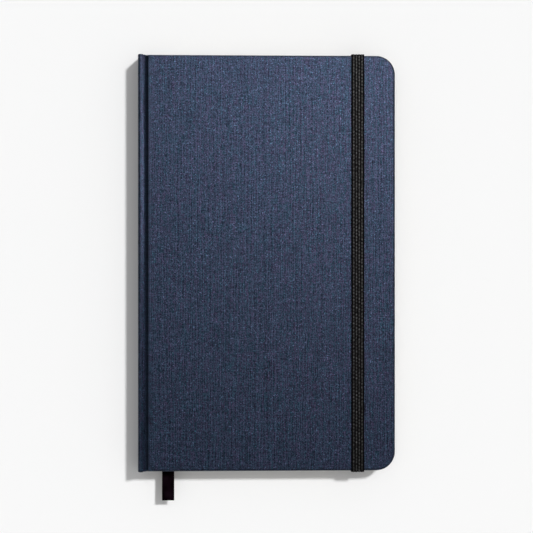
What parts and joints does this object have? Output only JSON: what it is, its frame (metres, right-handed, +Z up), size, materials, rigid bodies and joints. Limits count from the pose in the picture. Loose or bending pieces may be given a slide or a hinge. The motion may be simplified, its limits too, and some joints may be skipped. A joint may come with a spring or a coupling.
{
  "type": "pilot logbook",
  "caption": "Cloth-bound logbook with square spine, rounded fore-edge corners, elastic closure band and ribbon marker; opens flat at its middle.",
  "frame": {"origin": "centre of the back cover's resting face, on the plane the closed book lies on", "axes": "+Z up through the thickness to the front cover, +Y towards the head, +X towards the fore-edge; the spine is at -X"},
  "size_m": [0.13, 0.2264, 0.0172],
  "materials": {
    "cover_cloth": "matte",
    "greyboard": "matte",
    "endpaper": "matte",
    "page_paper": "matte",
    "thread": "matte",
    "gauze": "matte",
    "band_cloth": "satin",
    "ribbon": "satin",
    "elastic": "matte"
  },
  "bodies": {
    "back_cover": {"back_board": "greyboard", "back_cloth": "cover_cloth", "back_joint_cloth": "cover_cloth", "back_pastedown": "endpaper", "back_flyleaf": "endpaper", "signature_08": "page_paper", "signature_09": "page_paper", "signature_10": "page_paper", "signature_11": "page_paper", "spine_lining": "gauze", "headband": "band_cloth", "tailband": "band_cloth", "elastic_head_anchor": "elastic", "elastic_tail_anchor": "elastic"},
    "spine": {"spine_board": "greyboard", "spine_cloth": "cover_cloth"},
    "front_cover": {"front_board": "greyboard", "front_cloth": "cover_cloth", "front_joint_cloth": "cover_cloth", "front_pastedown": "endpaper"},
    "front_leaves": {"front_flyleaf": "endpaper", "signature_01": "page_paper", "signature_02": "page_paper", "signature_03": "page_paper", "signature_04": "page_paper"},
    "last_front_section": {"signature_05": "page_paper"},
    "centre_front": {"centre_section_front": "page_paper"},
    "centre_rear": {"centre_section_rear": "page_paper", "sewing_thread": "thread", "ribbon_run": "ribbon"},
    "first_rear_section": {"signature_07": "page_paper"},
    "ribbon_tail": {"ribbon_tail": "ribbon"},
    "elastic": {"elastic_front_run": "elastic", "elastic_head_return": "elastic", "elastic_tail_return": "elastic"}
  },
  "joints": [
    {"name": "spine_swing", "type": "hinge", "parent": "back_cover", "child": "spine", "pos_m": [-0.0636, 0, 0.0014], "axis": [0, -1, 0], "range_deg": [0, 90], "deforming": ["back_joint_cloth"]},
    {"name": "cover_swing", "type": "hinge", "parent": "spine", "child": "front_cover", "pos_m": [-0.0636, 0, 0.015], "axis": [0, -1, 0], "range_deg": [0, 90], "deforming": ["front_joint_cloth"]},
    {"name": "front_leaves_turn", "type": "hinge", "parent": "back_cover", "child": "front_leaves", "pos_m": [-0.0616, 0, 0.0082], "axis": [0, -1, 0], "range_deg": [0, 180], "deforming": ["spine_lining", "headband", "tailband"]},
    {"name": "last_front_section_turn", "type": "hinge", "parent": "back_cover", "child": "last_front_section", "pos_m": [-0.0616, 0, 0.0082], "axis": [0, -1, 0], "range_deg": [0, 180]},
    {"name": "centre_front_turn", "type": "hinge", "parent": "back_cover", "child": "centre_front", "pos_m": [-0.0616, 0, 0.0082], "axis": [0, -1, 0], "range_deg": [0, 180]},
    {"name": "centre_rear_turn", "type": "hinge", "parent": "back_cover", "child": "centre_rear", "pos_m": [-0.0616, 0, 0.0082], "axis": [0, -1, 0], "range_deg": [0, 5]},
    {"name": "first_rear_section_turn", "type": "hinge", "parent": "back_cover", "child": "first_rear_section", "pos_m": [-0.0616, 0, 0.0082], "axis": [0, -1, 0], "range_deg": [0, 5]},
    {"name": "elastic_slip", "type": "slide", "parent": "back_cover", "child": "elastic", "axis": [0, 0, -1], "range_m": [0, 0.0173], "deforming": ["elastic_front_run", "elastic_head_return", "elastic_tail_return"]},
    {"name": "ribbon_bend", "type": "hinge", "parent": "centre_rear", "child": "ribbon_tail", "pos_m": [-0.0499, -0.1058, 0.00817], "axis": [-1, 0, 0], "range_deg": [-32, 85]}
  ],
  "couplings": [
    {"joint": "cover_swing", "follows": "spine_swing", "ratio": 1},
    {"joint": "front_leaves_turn", "follows": "spine_swing", "ratio": 1.994},
    {"joint": "last_front_section_turn", "follows": "spine_swing", "ratio": 1.982},
    {"joint": "centre_front_turn", "follows": "spine_swing", "ratio": 1.965},
    {"joint": "centre_rear_turn", "follows": "spine_swing", "ratio": 0.03},
    {"joint": "first_rear_section_turn", "follows": "spine_swing", "ratio": 0.012},
    {"joint": "elastic_slip", "follows": "spine_swing", "m_per_rad": 0.01095}
  ]
}
